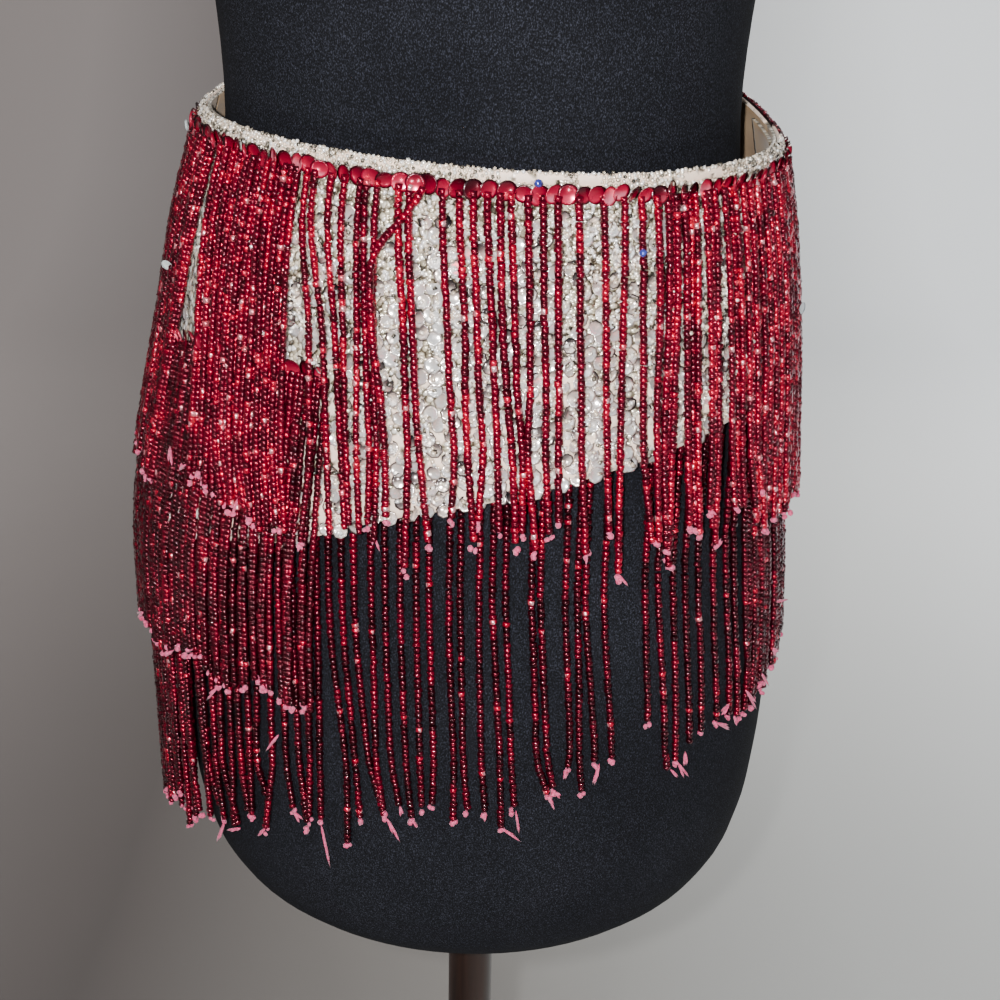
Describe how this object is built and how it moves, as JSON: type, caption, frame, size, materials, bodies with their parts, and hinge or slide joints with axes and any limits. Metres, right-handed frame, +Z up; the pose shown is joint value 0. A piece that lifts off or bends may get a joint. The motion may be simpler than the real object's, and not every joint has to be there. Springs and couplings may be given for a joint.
{
  "type": "fringe belt on a dress form",
  "caption": "Cream sequinned hip belt with a slanting hem and tiers of ruby bead fringe, worn on a black limbless dress form with a pole stand.",
  "frame": {"origin": "centre of the round foot's underside, on the floor", "axes": "+Z up along the pole and the form, front of the belt faces -Y"},
  "size_m": [0.356, 0.356, 1.5093],
  "materials": {
    "form_cover": "fine black knit stretched over padding",
    "stand_metal": "satin dark brown paint",
    "cap_wood": "black lacquer",
    "cloth": "cream satin backed with tan lining cloth",
    "clear_beads": "silver-lined clear seed beads",
    "red_beads": "silver-lined ruby seed beads",
    "sequins": "silver and ruby cup sequins",
    "thread": "pink thread, knotted and cut"
  },
  "bodies": {
    "root": {"form_body": "form_cover", "neck_cap": "cap_wood", "collar": "stand_metal", "pole": "stand_metal", "foot": "stand_metal", "panel_front": "cloth", "panel_back": "cloth", "closure_tab": "cloth", "band_front": "clear_beads", "band_back": "red_beads", "fringe_1_front": "red_beads", "fringe_1_back": "red_beads", "fringe_2": "red_beads", "fringe_3_front": "red_beads", "fringe_3_back": "red_beads"}
  },
  "joints": []
}
